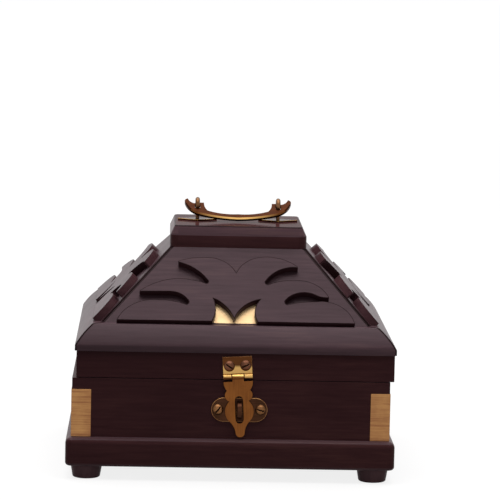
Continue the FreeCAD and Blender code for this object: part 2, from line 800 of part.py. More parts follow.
# The fretwork, from the top notch round three leaves to the tulip-shaped opening, as sawn by hand:
# corners up the slope, with the point that each arc passes through; the left half as in a mirror
LEAF_RIGHT = [
    ((0.0, 27.9), (4.2, 33.9)),
    ((11.5, 37.3), (21.5, 36.7)),
    ((30.1, 32.0), None),
    ((30.1, 31.3), (21.3, 29.7)),
    ((14.6, 23.4), (14.2, 22.0)),
    ((15.5, 21.2), (21.4, 23.3)),
    ((28.0, 23.9), (39.0, 21.4)),
    ((44.9, 14.6), None),
    ((44.9, 14.0), (41.8, 14.0)),
    ((38.6, 15.2), (31.6, 16.6)),
    ((24.3, 12.5), (23.6, 11.0)),
    ((24.6, 9.6), (31.0, 11.1)),
    ((38.6, 11.6), (51.4, 8.5)),
    ((57.2, -0.9), None),
    ((10.4, -0.9), (8.9, 5.4)),
    ((11.6, 12.3), (4.5, 8.8)),
]
LEAF_LEFT = [
    ((0.0, 27.9), (4.5, 33.6)),
    ((11.1, 36.5), (19.5, 36.5)),
    ((28.2, 34.4), None),
    ((28.2, 33.4), (20.5, 29.9)),
    ((14.2, 23.5), (13.6, 22.2)),
    ((14.4, 21.2), (21.6, 23.4)),
    ((29.0, 24.0), (38.8, 21.4)),
    ((46.8, 16.4), None),
    ((46.8, 15.8), None),
    ((32.0, 16.1), (27.2, 14.9)),
    ((23.6, 11.6), (23.0, 10.0)),
    ((24.0, 8.7), (30.2, 10.7)),
    ((38.0, 11.2), (50.2, 8.3)),
    ((57.6, -0.9), None),
    ((11.7, -0.9), (9.8, 6.2)),
    ((11.0, 12.5), (4.7, 7.5)),
]
TONGUE_TIP = (-1.0, 0.4)
LEAF_DROPS = {"front": "0", "rear": "0", "left": "Dims.side_leaf_drop", "right": "Dims.side_leaf_drop"}

# The leaves reach down past the slopes and are trimmed level to stand on the ledge
below_ledge = block(
    "below_ledge",
    (f"2 * {EAVE_HALF_WIDTH}", f"2 * {EAVE_HALF_DEPTH}", "Dims.bevel_rise"),
    (f"{LID_X} - {EAVE_HALF_WIDTH}", f"-{EAVE_HALF_DEPTH}", f"{LEDGE} - Dims.bevel_rise"),
)

# The hips are cut on past the inner faces of the slopes
HIP_RUNS = {side: f"1.4 * {run}" for side, run in ROOF_RUNS.items()}

for side in SIDES:
    inlay = doc.addObject("Part::Box", f"brass_inlay_{side}_sheet")
    bind(inlay, Length="Dims.inlay_width", Width="Dims.inlay_height", Height="Dims.inlay_thickness")
    corner = V(-value("Dims.inlay_width") / 2, value("Dims.inlay_rise"), -value("Dims.inlay_thickness"))
    inlay.Placement = slope_placement(side).multiply(FreeCAD.Placement(corner, FreeCAD.Rotation()))
    publish(inlay, f"brass_inlay_{side}")

    run = ROOF_RUNS[side]
    thickness = f"(Dims.roof_thickness * sqrt({run} ^ 2 + Dims.roof_rise ^ 2) / Dims.roof_rise)"
    panel = board(
        f"roof_{side}_body",
        side,
        ROOF_HALF_DEPTH,
        ROOF_HALF_WIDTH,
        [
            ("0", LEDGE),
            (run, ROOF_TOP),
            (f"{run} + {thickness}", ROOF_TOP),
            (thickness, LEDGE),
        ],
    )
    mitre(panel, side, ROOF_HALF_DEPTH, ROOF_HALF_WIDTH, HIP_RUNS)
    place(panel, x=LID_X)
    publish(cut(f"roof_{side}_recessed", panel, inlay), f"roof_{side}")

    fret = new_body(f"leaf_overlay_{side}_body")
    fret_sketch = new_sketch(fret, f"leaf_overlay_{side}_outline")
    size = () if side in ("front", "rear") else ("Dims.side_leaf_stretch", "Dims.side_leaf_climb")
    outline(fret_sketch, both_halves(LEAF_RIGHT, LEAF_LEFT, TONGUE_TIP, *size))
    pad(fret, fret_sketch, "Dims.leaf_thickness")
    drop = FreeCAD.Placement(V(0, -value(LEAF_DROPS[side]), 0), FreeCAD.Rotation())
    fret.Placement = slope_placement(side).multiply(drop)
    publish(cut(f"leaf_overlay_{side}_trimmed", fret, below_ledge), f"leaf_overlay_{side}")

# Handle eyes: a ring on a stem through the cap, its ends clenched flat inside the lid
CAP_THICKNESS = "(Dims.cap_straight + Dims.cap_bevel)"
eye_stems = []
wire = "Dims.eye_wire_radius"
for hand, sign in HANDS.items():
    spot_x = f"{CAP_X} + {sign} * Dims.handle_spacing / 2"
    ring = doc.addObject("Part::Torus", f"handle_eye_{hand}_ring")
    bind(ring, Radius1="Dims.eye_ring_radius", Radius2=wire)
    ring.Placement.Rotation = FreeCAD.Rotation(Z_AXIS, X_AXIS)
    place(ring, spot_x, "0", HANDLE_Z)
    stem = rod(
        f"handle_eye_{hand}_stem",
        "Dims.eye_stem_radius",
        f"{CAP_THICKNESS} + Dims.handle_axis_up - Dims.eye_ring_radius",
        (spot_x, "0", ROOF_TOP),
    )
    clench = block(
        f"handle_eye_{hand}_clench",
        (f"2 * {wire}", "Dims.clench_length", "Dims.clench_thickness"),
        (f"{spot_x} - {wire}", "-Dims.clench_length / 2", f"{ROOF_TOP} - Dims.clench_thickness"),
    )
    eye_stems.append(stem)
    publish(fuse(f"handle_eye_{hand}_whole", ring, stem, clench), f"handle_eye_{hand}")

    rose = new_body(f"handle_plate_{hand}_body")
    rose_sketch = new_sketch(rose, f"handle_plate_{hand}_outline")
    outline(
        rose_sketch,
        [
            ("-Dims.rose_length / 2", "0"),
            ("0", "-Dims.rose_width / 2"),
            ("Dims.rose_length / 2", "0"),
            ("0", "Dims.rose_width / 2"),
        ],
    )
    pad(rose, rose_sketch, "Dims.rose_thickness")
    place(rose, spot_x, "0", CAP_TOP)
    publish(cut(f"handle_plate_{hand}_pierced", rose, stem), f"handle_plate_{hand}")

# Cap block: a flat block with rounded corners and bevelled top edges
cap = new_body("cap_block_body")
CAP_HALF_X = f"({ROOF_HALF_WIDTH} - (Dims.roof_run_left + Dims.roof_run_right) / 2)"
CAP_HALF_Y = f"({ROOF_HALF_DEPTH} - Dims.roof_run)"
CAP_OUTLINE = rounded_rectangle(CAP_HALF_X, CAP_HALF_Y, "Dims.cap_corner_round")
cap_sketch = new_sketch(cap, "cap_outline")
outline(cap_sketch, CAP_OUTLINE)
pad(cap, cap_sketch, "Dims.cap_straight")
cap_upper = new_sketch(cap, "cap_upper_outline", lift="Dims.cap_straight")
outline(cap_upper, CAP_OUTLINE)
cap_bevel = pad(cap, cap_upper, "Dims.cap_bevel")
bind(cap_bevel, TaperAngle="-Dims.cap_bevel_angle")
round_edges(cap, cap_bevel, "Dims.cap_round", lambda box: box.ZMin > value(CAP_THICKNESS) - 0.01)
place(cap, x=CAP_X, z=ROOF_TOP)
publish(cut("cap_block_drilled", cap, *eye_stems), "cap_block")

# Handle bail: a flat crescent with an eye near each end and horns that sweep past the eyes.
# X runs along the hinge line and Y is the reach from it; the outer edge is bevelled on the upper face.
BAIL_HALF = [
    ((0.0, 10.6), (11.0, 9.4)),
    ((19.7, 7.1), (24.3, 3.6)),
    ((26.4, -0.8), (26.3, -2.5)),
    ((25.0, -3.4), (23.8, -1.2)),
    ((21.9, 0.0), (21.2, -0.1)),
    ((20.6, -0.5), None),
    ((16.9, -0.5), (16.5, 2.6)),
    ((15.1, 5.2), (8.0, 7.2)),
]
BAIL_MIDDLE = (0.0, 7.5)
EYE_SLOT_LOW, EYE_SLOT_HIGH, EYE_SLOT_HALF = 0.85, 4.1, 1.35

bail = new_body("handle_bail_body")
bail_sketch = new_sketch(bail, "bail_outline")
outline(bail_sketch, both_halves(BAIL_HALF, BAIL_HALF, BAIL_MIDDLE))
pad(bail, bail_sketch, "Dims.bail_thickness", centred=True)
eye_sketch = new_sketch(bail, "bail_eyes")
for sign in HANDS.values():
    eye_x = f"{sign} * Dims.handle_spacing / 2"
    left, right = f"{eye_x} - {EYE_SLOT_HALF}", f"{eye_x} + {EYE_SLOT_HALF}"
    low, high = str(EYE_SLOT_LOW), str(EYE_SLOT_HIGH)
    crown = str(EYE_SLOT_HIGH - EYE_SLOT_HALF)
    outline(eye_sketch, [(left, low), (right, low), (right, crown, eye_x, high), (left, crown)])
bail_eyes = pocket_through(bail, eye_sketch)
doc.recompute()
OUTER_REACH = BAIL_HALF[1][0][1] - 0.1
bevelled = [
    f"Edge{number}"
    for number, edge in enumerate(bail_eyes.Shape.Edges, start=1)
    if edge.BoundBox.ZMax < 0 and edge.BoundBox.YMin > OUTER_REACH
]
bail_bevel = bail.newObject("PartDesign::Chamfer", "bail_bevel")
bail_bevel.Base = (bail_eyes, bevelled)
bind(bail_bevel, Size="Dims.bail_bevel")
bail.Tip = bail_bevel
droop = FreeCAD.Rotation(X_AXIS, 180 + value("Dims.handle_droop"))
bail.Placement = FreeCAD.Placement(V(value(CAP_X), 0, value(HANDLE_Z)), droop)
publish(bail, "handle_bail")


# Hinges: two leaves with interleaved knuckles on a pin
def knuckle_row(name, centre_x, axis_y, axis_z, spans, radius):
    """Barrel knuckles along X, each span given as (start, length) about the hinge's middle."""
    return [
        rod(f"{name}_knuckle_{index}", radius, length, (f"{centre_x} + {start}", axis_y, axis_z), X_AXIS)
        for index, (start, length) in enumerate(spans)
    ]


def bore(name, centre_x, axis_y, axis_z, length, radius):
    """The hole for a hinge pin."""
    return rod(name, radius, length, (f"{centre_x} - ({length}) / 2", axis_y, axis_z), X_AXIS)


def knuckle_spans(total, centre):
    """Where the knuckles of a hinge lie: the two outer ones, the centre one and the room it needs."""
    gap = "Dims.knuckle_gap"
    side = f"({total} / 2 - {centre} / 2 - {gap})"
    outer = [(f"-{total} / 2", side), (f"{centre} / 2 + {gap}", side)]
    outer_room = [(f"-{total} / 2 - {gap}", f"{side} + 2 * {gap}"), (f"{centre} / 2", f"{side} + 2 * {gap}")]
    middle = [(f"-{centre} / 2", centre)]
    middle_room = [(f"-{centre} / 2 - {gap}", f"{centre} + 2 * {gap}")]
    return outer, outer_room, middle, middle_room


for hand, sign in HANDS.items():
    middle = f"{sign} * Dims.hinge_spacing / 2"
    outer, outer_room, centre, centre_room = knuckle_spans("Dims.hinge_length", "Dims.centre_knuckle")
    running_radius = "Dims.hinge_pin_radius + Dims.running_gap"
    leaves = {
        "box": (outer, centre_room, f"{RIM} - Dims.hinge_sheet", "Dims.hinge_pin_radius", box_hinge_holes),
        "lid": (centre, outer_room, LID_BOTTOM, running_radius, lid_hinge_holes),
    }
    for owner, (spans, rooms, leaf_bottom, bore_radius, screw_holes) in leaves.items():
        name = f"hinge_{hand}_{owner}_leaf"
        sheet_metal = block(
            f"{name}_sheet",
            ("Dims.hinge_length", "Dims.hinge_leaf", "Dims.hinge_sheet"),
            (f"{middle} - Dims.hinge_length / 2", f"{HINGE_Y} - Dims.hinge_leaf", leaf_bottom),
        )
        room = knuckle_row(f"{name}_room", middle, HINGE_Y, HINGE_Z, rooms, "Dims.barrel_recess")
        trimmed = cut(f"{name}_trimmed", sheet_metal, *room)
        barrel = knuckle_row(name, middle, HINGE_Y, HINGE_Z, spans, "Dims.barrel_radius")
        joined = fuse(f"{name}_joined", trimmed, *barrel)
        pin_hole = bore(f"{name}_bore", middle, HINGE_Y, HINGE_Z, "2 * Dims.hinge_length", bore_radius)
        publish(cut(f"{name}_bored", joined, pin_hole, screw_holes), name)
    pin_name = f"hinge_{hand}_pin"
    pin = bore(f"{pin_name}_rod", middle, HINGE_Y, HINGE_Z, "Dims.hinge_length", "Dims.hinge_pin_radius")
    publish(pin, pin_name)

# Hasp leaf: the fixed half of the hasp on the front rail, with a knuckle at each side
hasp_outer, _, hasp_centre, hasp_centre_room = knuckle_spans("Dims.hasp_width", "Dims.hasp_knuckle")
HASP_AXIS = ("Dims.hasp_x", HASP_Y, HASP_Z)
HASP_ROOM = "Dims.hasp_barrel_radius + Dims.knuckle_gap"
hasp_sheet = block(
    "hasp_leaf_sheet",
    ("Dims.hasp_width", "Dims.hasp_sheet", "Dims.hasp_leaf_height"),
    ("Dims.hasp_x - Dims.hasp_width / 2", PLATE_FACE, HASP_Z),
)
hasp_room = knuckle_row("hasp_leaf_room", *HASP_AXIS, hasp_centre_room, HASP_ROOM)
hasp_trimmed = cut("hasp_leaf_trimmed", hasp_sheet, *hasp_room)
hasp_barrel = knuckle_row("hasp_leaf", *HASP_AXIS, hasp_outer, "Dims.hasp_barrel_radius")
hasp_joined = fuse("hasp_leaf_joined", hasp_trimmed, *hasp_barrel)
hasp_bore = bore("hasp_leaf_bore", *HASP_AXIS, "2 * Dims.hasp_width", "Dims.hasp_pin_radius")
hasp_bored = lean(cut("hasp_leaf_bored", hasp_joined, hasp_bore))
publish(cut("hasp_leaf_drilled", hasp_bored, hasp_holes), "hasp_leaf")
hasp_pin = bore("hasp_pin_rod", *HASP_AXIS, "Dims.hasp_width", "Dims.hasp_pin_radius")
publish(lean(group("hasp_pin_set", [hasp_pin])), "hasp_pin")

# Hasp strap: a pinched brass strap with a slot, seen from the front; Y is the drop below its pin
STRAP_HALF = [
    ((7.0, -2.2), (6.8, -4.4)),
    ((5.6, -6.6), (6.7, -9.0)),
    ((4.7, -11.8), (6.9, -16.2)),
    ((4.6, -22.0), (3.0, -24.4)),
    ((2.2, -27.4), (1.6, -28.8)),
]
STRAP_TIP = -29.4
strap = new_body("hasp_strap_body")
strap_sketch = new_sketch(strap, "strap_outline", "XZ_Plane")
outline(strap_sketch, both_halves(STRAP_HALF, STRAP_HALF, (0.0, STRAP_TIP)))
pad(strap, strap_sketch, "Dims.strap_thickness", centred=True)
slot_sketch = new_sketch(strap, "strap_slot", "XZ_Plane")
HALF_SLOT = "Dims.slot_width / 2"
outline(
    slot_sketch,
    [
        (f"-{HALF_SLOT}", f"-Dims.slot_bottom + {HALF_SLOT}", "0", "-Dims.slot_bottom"),
        (HALF_SLOT, f"-Dims.slot_bottom + {HALF_SLOT}"),
        (HALF_SLOT, f"-Dims.slot_top - {HALF_SLOT}", "0", "-Dims.slot_top"),
        (f"-{HALF_SLOT}", f"-Dims.slot_top - {HALF_SLOT}"),
    ],
)
pocket_through(strap, slot_sketch)
place(strap, "Dims.hasp_x", HASP_Y, HASP_Z)
tongue = block(
    "hasp_strap_tongue",
    ("Dims.hasp_knuckle", "Dims.strap_thickness", "Dims.tongue_length"),
    (
        "Dims.hasp_x - Dims.hasp_knuckle / 2",
        f"{HASP_Y} - Dims.strap_thickness / 2",
        f"{HASP_Z} - Dims.tongue_length",
    ),
)
strap_knuckle = knuckle_row("hasp_strap", *HASP_AXIS, hasp_centre, "Dims.hasp_barrel_radius")
strap_joined = fuse("hasp_strap_joined", strap, tongue, *strap_knuckle)
STRAP_BORE = "Dims.hasp_pin_radius + Dims.running_gap"
strap_bore = bore("hasp_strap_bore", *HASP_AXIS, "2 * Dims.hasp_width", STRAP_BORE)
publish(lean(cut("hasp_strap_bored", strap_joined, strap_bore)), "hasp_strap")

# Every object has to be sound before anything is written
doc.recompute()
for thing in doc.Objects:
    if "Invalid" in thing.State or "Error" in thing.State:
        raise RuntimeError(f"{thing.Name} failed: {thing.State}")
os.makedirs("parts", exist_ok=True)
for piece in pieces:
    shape = Part.getShape(piece)
    if shape.isNull() or not shape.isValid() or not shape.Solids:
        raise RuntimeError(f"{piece.Label} has no sound shape")
    print(f"{piece.Label}: {len(shape.Solids)} solid(s), {shape.Volume / 1000:.3f} cm3")
for piece in pieces:
    Part.getShape(piece).exportStep(f"parts/{piece.Label}.step")
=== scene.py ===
"""Dresses a small lacquered casket with brass fittings and sets it in a white studio."""

import logging
import math
from dataclasses import dataclass
from enum import Enum
from typing import Sequence

import bmesh
import bpy
from bmesh.types import BMEdge, BMesh, BMFace
from mathutils import Matrix, Vector


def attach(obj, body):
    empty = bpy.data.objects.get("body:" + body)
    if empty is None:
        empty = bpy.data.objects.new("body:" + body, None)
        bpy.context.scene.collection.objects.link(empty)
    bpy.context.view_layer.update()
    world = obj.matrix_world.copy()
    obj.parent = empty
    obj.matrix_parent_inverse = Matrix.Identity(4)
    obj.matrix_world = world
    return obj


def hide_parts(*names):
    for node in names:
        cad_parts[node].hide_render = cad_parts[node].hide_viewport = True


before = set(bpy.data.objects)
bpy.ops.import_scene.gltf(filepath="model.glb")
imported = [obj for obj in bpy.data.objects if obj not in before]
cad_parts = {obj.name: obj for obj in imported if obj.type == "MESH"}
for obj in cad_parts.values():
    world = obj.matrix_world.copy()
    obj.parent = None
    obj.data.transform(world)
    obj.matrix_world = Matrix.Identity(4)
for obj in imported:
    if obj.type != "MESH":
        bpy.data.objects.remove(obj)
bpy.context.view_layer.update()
LOG = logging.getLogger("casket")

Tree = bpy.types.NodeTree
Socket = bpy.types.NodeSocket
Material = bpy.types.Material

MM = 0.001
JOIN_MM = 0.0005
FLAT_DEGREES = 0.2
ROUNDING_STEPS = 2
UPRIGHT_LIMIT = 0.05
CORNER_LIMIT = 0.5
WHITE = "#FFFFFF"

SIDES = ("front", "rear", "left", "right")
CORNERS = ("front_left", "front_right", "rear_left", "rear_right")
HANDS = ("left", "right")


class Body(str, Enum):
    """The bodies that pieces ride on."""

    BOX = "box"
    LID = "lid"
    HASP = "hasp"
    HANDLE = "handle"


class Slot(str, Enum):
    """The record's material slots."""

    WOOD = "lacquered_wood"
    FOOT = "foot_wood"
    BRASS = "brass"
    ANTIQUE = "antique_brass"
    STEEL = "steel"


class Run(Enum):
    """The direction that a grain or a brushing runs in, as a turn of the pattern in degrees."""

    ACROSS = (0.0, 0.0, 0.0)
    DEEP = (0.0, 0.0, 90.0)
    UPRIGHT = (0.0, 90.0, 0.0)


def linear(hex_colour: str) -> tuple[float, float, float, float]:
    """Turns an sRGB hex colour to linear light.

    Args:
        hex_colour: the colour as "#RRGGBB".

    Returns:
        Linear red, green and blue, and an alpha of 1.
    """
    channels = [int(hex_colour[start:start + 2], 16) / 255 for start in (1, 3, 5)]
    light = [c / 12.92 if c <= 0.04045 else ((c + 0.055) / 1.055) ** 2.4 for c in channels]
    return (light[0], light[1], light[2], 1.0)


def per_metre(size_mm: float) -> float:
    """The texture scale at which one feature of a pattern is about size_mm wide."""
    return 1.0 / (size_mm * MM)


def add(tree: Tree, kind: str, links: dict | None = None, **settings: object) -> bpy.types.Node:
    """Adds a shader node, sets it up and links its inputs.

    Args:
        tree: the node tree to add to.
        kind: the node's type name.
        links: input name or number to an output socket, or to a plain value.
        settings: properties of the node.

    Returns:
        The new node.
    """
    node = tree.nodes.new(kind)
    for name, setting in settings.items():
        setattr(node, name, setting)
    for socket, source in (links or {}).items():
        if isinstance(source, Socket):
            tree.links.new(source, node.inputs[socket])
        else:
            node.inputs[socket].default_value = source
    return node


def ramp(tree: Tree, factor: Socket, stops: Sequence[tuple[float, str]]) -> Socket:
    """Blends hex colours along a factor.

    Args:
        tree: the node tree to add to.
        factor: the socket that drives the blend.
        stops: positions from 0 to 1 with their colours.

    Returns:
        The colour socket.
    """
    node = add(tree, "ShaderNodeValToRGB", {"Fac": factor})
    elements = node.color_ramp.elements
    while len(elements) < len(stops):
        elements.new(1.0)
    for element, (position, colour) in zip(elements, stops):
        element.position = position
        element.color = linear(colour)
    return node.outputs["Color"]


def spread(tree: Tree, factor: Socket, low: float, high: float) -> Socket:
    """Maps a factor from 0..1 to low..high.

    Args:
        tree: the node tree to add to.
        factor: the socket to map.
        low: the value at 0.
        high: the value at 1.

    Returns:
        The mapped socket.
    """
    node = add(tree, "ShaderNodeMapRange", {"Value": factor, "To Min": low, "To Max": high})
    return node.outputs["Result"]


def average(tree: Tree, one: Socket, other: Socket) -> Socket:
    """The mean of two factors.

    Args:
        tree: the node tree to add to.
        one: the first factor.
        other: the second factor.

    Returns:
        The mean's socket.
    """
    total = add(tree, "ShaderNodeMath", {0: one, 1: other}, operation="ADD").outputs["Value"]
    return add(tree, "ShaderNodeMath", {0: total, 1: 0.5}, operation="MULTIPLY").outputs["Value"]


def stretched(tree: Tree, run: Run, scale: tuple[float, float, float]) -> Socket:
    """Object coordinates turned to a run's direction and stretched along it.

    Args:
        tree: the node tree to add to.
        run: the direction of the pattern.
        scale: the scale along the run and across it.

    Returns:
        The vector socket.
    """
    place = add(tree, "ShaderNodeTexCoord")
    turn = tuple(math.radians(angle) for angle in run.value)
    turned = add(tree, "ShaderNodeMapping", {"Vector": place.outputs["Object"], "Rotation": turn})
    stretch = {"Vector": turned.outputs["Vector"], "Scale": scale}
    return add(tree, "ShaderNodeMapping", stretch).outputs["Vector"]


def new_material(name: str) -> tuple[Material, Tree, bpy.types.Node]:
    """Makes an empty node material.

    Args:
        name: the material's name.

    Returns:
        The material, its tree and its Principled shader.
    """
    material = bpy.data.materials.new(name)
    material.use_nodes = True
    tree = material.node_tree
    tree.nodes.clear()
    shader = add(tree, "ShaderNodeBsdfPrincipled")
    add(tree, "ShaderNodeOutputMaterial", {"Surface": shader.outputs["BSDF"]})
    return material, tree, shader


@dataclass(frozen=True)
class Lacquer:
    """Rosewood under a rubbed spirit lacquer: dark red-brown, with long grain and a soft gloss."""

    name: str
    run: Run
    deep: str = "#381F22"
    middle: str = "#45282A"
    light: str = "#533332"
    grain_mm: float = 1.6
    figure_mm: float = 26.0
    stretch: float = 14.0
    roughness: tuple[float, float] = (0.30, 0.40)
    index: float = 1.10
    stops: tuple[float, float, float] = (0.22, 0.42, 0.66)
    lift: float = 0.14
    relief: float = 0.10
    relief_mm: float = 0.12

    def build(self) -> Material:
        """Makes the material.

        Returns:
            The material.
        """
        material, tree, shader = new_material(self.name)
        fine = per_metre(self.grain_mm)
        broad = per_metre(self.figure_mm)
        figure_at = stretched(tree, self.run, (broad / 4, broad, broad))
        swirl = {"Vector": figure_at, "Scale": 1.0, "Detail": 3.0, "Distortion": 0.6}
        figure = add(tree, "ShaderNodeTexNoise", swirl).outputs["Fac"]
        grain_at = stretched(tree, self.run, (fine / self.stretch, fine, fine))
        lines = {"Vector": grain_at, "Scale": 1.0, "Detail": 4.0, "Roughness": 0.6}
        grain = add(tree, "ShaderNodeTexNoise", lines).outputs["Fac"]
        both = add(tree, "ShaderNodeMath", {0: figure, 1: grain, 2: self.lift}, operation="MULTIPLY_ADD")
        stops = list(zip(self.stops, (self.deep, self.middle, self.light)))
        tree.links.new(ramp(tree, both.outputs["Value"], stops), shader.inputs["Base Color"])
        low, high = self.roughness
        rub_at = stretched(tree, self.run, (broad, broad, broad))
        rub = add(tree, "ShaderNodeTexNoise", {"Vector": rub_at, "Scale": 1.7, "Detail": 5.0})
        tree.links.new(spread(tree, rub.outputs["Fac"], low, high), shader.inputs["Roughness"])
        pores = {"Height": grain, "Strength": self.relief, "Distance": self.relief_mm * MM}
        tree.links.new(add(tree, "ShaderNodeBump", pores).outputs["Normal"], shader.inputs["Normal"])
        shader.inputs["IOR"].default_value = self.index
        return material


@dataclass(frozen=True)
class Band:
    """A stretch of brass painted another colour: a painted highlight where it is lighter, painted shade
    where it is darker.

    The colour comes in over the first two of the limits and goes out over the last two.
    """

    axis: str
    limits_mm: tuple[float, float, float, float]
    colour: str

    def lay(self, tree: Tree, ground: Socket) -> Socket:
        """Lays the band over a colour.

        Args:
            tree: the node tree to add to.
            ground: the colour outside the band.

        Returns:
            The colour socket.
        """
        place = add(tree, "ShaderNodeTexCoord")
        split = add(tree, "ShaderNodeSeparateXYZ", {"Vector": place.outputs["Object"]})
        along = split.outputs[self.axis]
        begin, full, still_full, end = (limit * MM for limit in self.limits_mm)
        rise = add(tree, "ShaderNodeMapRange", {"Value": along, "From Min": begin, "From Max": full})
        fall = add(tree, "ShaderNodeMapRange", {"Value": along, "From Min": end, "From Max": still_full})
        limits = {0: rise.outputs["Result"], 1: fall.outputs["Result"]}
        both = add(tree, "ShaderNodeMath", limits, operation="MULTIPLY")
        colours = {"Fac": both.outputs["Value"], "Color1": ground, "Color2": linear(self.colour)}
        return add(tree, "ShaderNodeMixRGB", colours).outputs["Color"]


@dataclass(frozen=True)
class Brass:
    """Rolled sheet or cast brass, brushed one way and toned by handling.

    Where score_mm is given, dark scratches about that far apart run along the brushing.
    """

    name: str
    run: Run
    bright: str
    toned: str
    brush_mm: float = 0.5
    patch_mm: float = 9.0
    stretch: float = 30.0
    roughness: tuple[float, float] = (0.24, 0.42)
    relief: float = 0.12
    score_mm: float | None = None
    band: Band | None = None
    stops: tuple[float, float] = (0.34, 0.62)
    relief_mm: float = 0.08
    score_limits: tuple[float, float] = (0.36, 0.46)
    score_tone: float = 0.55

    def build(self) -> Material:
        """Makes the material.

        Returns:
            The material.
        """
        material, tree, shader = new_material(self.name)
        brush = self.streaks(tree, self.brush_mm)
        broad = per_metre(self.patch_mm)
        patch_at = stretched(tree, self.run, (broad, broad, broad))
        patch = add(tree, "ShaderNodeTexNoise", {"Vector": patch_at, "Scale": 1.0, "Detail": 4.0})
        tone = average(tree, brush, patch.outputs["Fac"])
        if self.score_mm:
            begin, full = self.score_limits
            deep = {"Value": self.streaks(tree, self.score_mm), "From Min": begin, "From Max": full}
            scores = add(tree, "ShaderNodeMapRange", deep).outputs["Result"]
            shallow = spread(tree, scores, self.score_tone, 1.0)
            tone = add(tree, "ShaderNodeMath", {0: tone, 1: shallow}, operation="MULTIPLY").outputs["Value"]
        colour = ramp(tree, tone, list(zip(self.stops, (self.toned, self.bright))))
        if self.band:
            colour = self.band.lay(tree, colour)
        tree.links.new(colour, shader.inputs["Base Color"])
        low, high = self.roughness
        tree.links.new(spread(tree, tone, high, low), shader.inputs["Roughness"])
        scratches = {"Height": brush, "Strength": self.relief, "Distance": self.relief_mm * MM}
        tree.links.new(add(tree, "ShaderNodeBump", scratches).outputs["Normal"], shader.inputs["Normal"])
        shader.inputs["Metallic"].default_value = 1.0
        return material

    def streaks(self, tree: Tree, width_mm: float) -> Socket:
        """Long thin streaks along the brushing.

        Args:
            tree: the node tree to add to.
            width_mm: how far apart the streaks lie.

        Returns:
            The factor's socket.
        """
        fine = per_metre(width_mm)
        at = stretched(tree, self.run, (fine / self.stretch, fine, fine))
        lines = {"Vector": at, "Scale": 1.0, "Detail": 3.0, "Roughness": 0.7}
        return add(tree, "ShaderNodeTexNoise", lines).outputs["Fac"]


